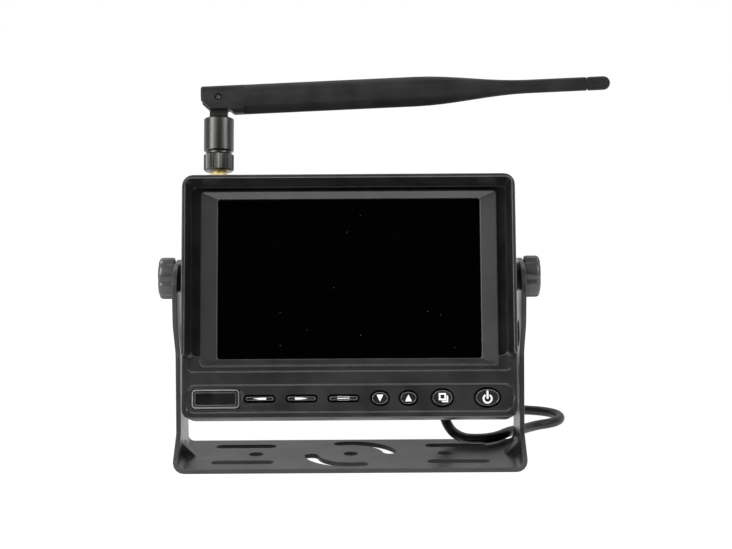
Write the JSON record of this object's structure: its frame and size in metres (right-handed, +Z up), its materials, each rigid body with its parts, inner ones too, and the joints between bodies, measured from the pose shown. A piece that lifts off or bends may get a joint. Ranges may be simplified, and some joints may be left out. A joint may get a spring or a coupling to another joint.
{
  "type": "backup camera monitor",
  "caption": "Tilting dash monitor of a backup camera kit: screen in a hooded case on a slotted U bracket, with clamp knobs, push keys, a folding aerial and a coiled power lead.",
  "frame": {"origin": "on the floor, under the middle of the box that holds the rigid pieces", "axes": "+Z up; +X to the right of someone who looks at the screen; +Y away from them, towards the back"},
  "size_m": [0.193, 0.1797, 0.161],
  "materials": {
    "coated_steel": "black powder coat, satin",
    "black_plastic": "fine moulded texture",
    "black_rubber": "matte",
    "screen": "dark, smooth",
    "panel": "satin",
    "shield_tin": "bright sheet",
    "circuit_board": "green solder mask",
    "black_nickel": "dark plated, satin",
    "gold_plate": "gold plate",
    "zinc_steel": "zinc plate",
    "brass": "turned"
  },
  "bodies": {
    "bracket": {"u_bracket": "coated_steel", "power_lead": "black_rubber", "lead_coil": "black_rubber", "coil_tie": "black_plastic", "power_plug": "black_plastic"},
    "monitor": {"front_bezel": "black_plastic", "sun_visor": "black_plastic", "rear_housing": "black_plastic", "screen_glass": "screen", "lcd_module": "panel", "main_board": "circuit_board", "rf_shield": "shield_tin", "key_board": "circuit_board", "badge_blank": "black_nickel", "case_screw_1": "zinc_steel", "case_screw_2": "zinc_steel", "case_screw_3": "zinc_steel", "case_screw_4": "zinc_steel", "left_rubber_washer": "black_rubber", "right_rubber_washer": "black_rubber", "left_insert": "brass", "right_insert": "brass", "aerial_jack": "gold_plate", "aerial_jack_nut": "gold_plate", "cable_gland": "black_rubber"},
    "left_clamp_washer": {"left_lock_washer": "zinc_steel"},
    "left_clamp_knob": {"left_knob": "black_plastic", "left_knob_stud": "zinc_steel"},
    "right_clamp_washer": {"right_lock_washer": "zinc_steel"},
    "right_clamp_knob": {"right_knob": "black_plastic", "right_knob_stud": "zinc_steel"},
    "left_key": {"left_button": "black_rubber"},
    "right_key": {"right_button": "black_rubber"},
    "menu_key": {"menu_button": "black_rubber"},
    "down_key": {"down_button": "black_rubber"},
    "up_key": {"up_button": "black_rubber"},
    "window_key": {"window_button": "black_rubber"},
    "power_key": {"power_button": "black_rubber"},
    "coupling_nut": {"coupling_nut": "black_nickel"},
    "swivel": {"aerial_swivel": "black_nickel"},
    "paddle": {"paddle_sheath": "black_rubber", "aerial_tip_cap": "black_rubber", "aerial_radiator": "zinc_steel", "aerial_pin": "zinc_steel"}
  },
  "joints": [
    {"name": "monitor_tilt", "type": "hinge", "parent": "bracket", "child": "monitor", "pos_m": [-0.01589, 0.00408, 0.0775], "axis": [1, 0, 0], "range_deg": [-25, 35], "deforming": ["power_lead"]},
    {"name": "left_clamp_advance", "type": "slide", "parent": "monitor", "child": "left_clamp_washer", "axis": [-1, 0, 0], "range_m": [0, 0.0024]},
    {"name": "left_clamp_turn", "type": "hinge", "parent": "left_clamp_washer", "child": "left_clamp_knob", "pos_m": [-0.01589, 0.00408, 0.0775], "axis": [-1, 0, 0], "range_deg": [0, 1080]},
    {"name": "right_clamp_advance", "type": "slide", "parent": "monitor", "child": "right_clamp_washer", "axis": [1, 0, 0], "range_m": [0, 0.0024]},
    {"name": "right_clamp_turn", "type": "hinge", "parent": "right_clamp_washer", "child": "right_clamp_knob", "pos_m": [-0.01589, 0.00408, 0.0775], "axis": [1, 0, 0], "range_deg": [0, 1080]},
    {"name": "left_press", "type": "slide", "parent": "monitor", "child": "left_key", "axis": [0, 0.9573, -0.289], "range_m": [0, 0.0005], "stiffness_N_per_m": 1500, "springref_m": -0.0004},
    {"name": "right_press", "type": "slide", "parent": "monitor", "child": "right_key", "axis": [0, 0.9573, -0.289], "range_m": [0, 0.0005], "stiffness_N_per_m": 1500, "springref_m": -0.0004},
    {"name": "menu_press", "type": "slide", "parent": "monitor", "child": "menu_key", "axis": [0, 0.9573, -0.289], "range_m": [0, 0.0005], "stiffness_N_per_m": 1500, "springref_m": -0.0004},
    {"name": "down_press", "type": "slide", "parent": "monitor", "child": "down_key", "axis": [0, 0.9573, -0.289], "range_m": [0, 0.0005], "stiffness_N_per_m": 1500, "springref_m": -0.0004},
    {"name": "up_press", "type": "slide", "parent": "monitor", "child": "up_key", "axis": [0, 0.9573, -0.289], "range_m": [0, 0.0005], "stiffness_N_per_m": 1500, "springref_m": -0.0004},
    {"name": "window_press", "type": "slide", "parent": "monitor", "child": "window_key", "axis": [0, 0.9573, -0.289], "range_m": [0, 0.0005], "stiffness_N_per_m": 1500, "springref_m": -0.0004},
    {"name": "power_press", "type": "slide", "parent": "monitor", "child": "power_key", "axis": [0, 0.9573, -0.289], "range_m": [0, 0.0005], "stiffness_N_per_m": 1500, "springref_m": -0.0004},
    {"name": "coupling_nut_spin", "type": "hinge", "parent": "monitor", "child": "coupling_nut", "pos_m": [-0.07149, 0.00374, 0.0776], "axis": [0, 0.289, 0.9573], "continuous": true},
    {"name": "aerial_turn", "type": "hinge", "parent": "monitor", "child": "swivel", "pos_m": [-0.07149, 0.00374, 0.0776], "axis": [0, 0.289, 0.9573], "range_deg": [-180, 180]},
    {"name": "aerial_fold", "type": "hinge", "parent": "swivel", "child": "paddle", "pos_m": [-0.07149, 0.02611, 0.1517], "axis": [0, -0.9573, 0.289], "range_deg": [-2, 87.6]}
  ],
  "couplings": [
    {"joint": "left_clamp_turn", "follows": "left_clamp_advance", "rad_per_m": 7853.9},
    {"joint": "right_clamp_turn", "follows": "right_clamp_advance", "rad_per_m": 7853.9}
  ]
}
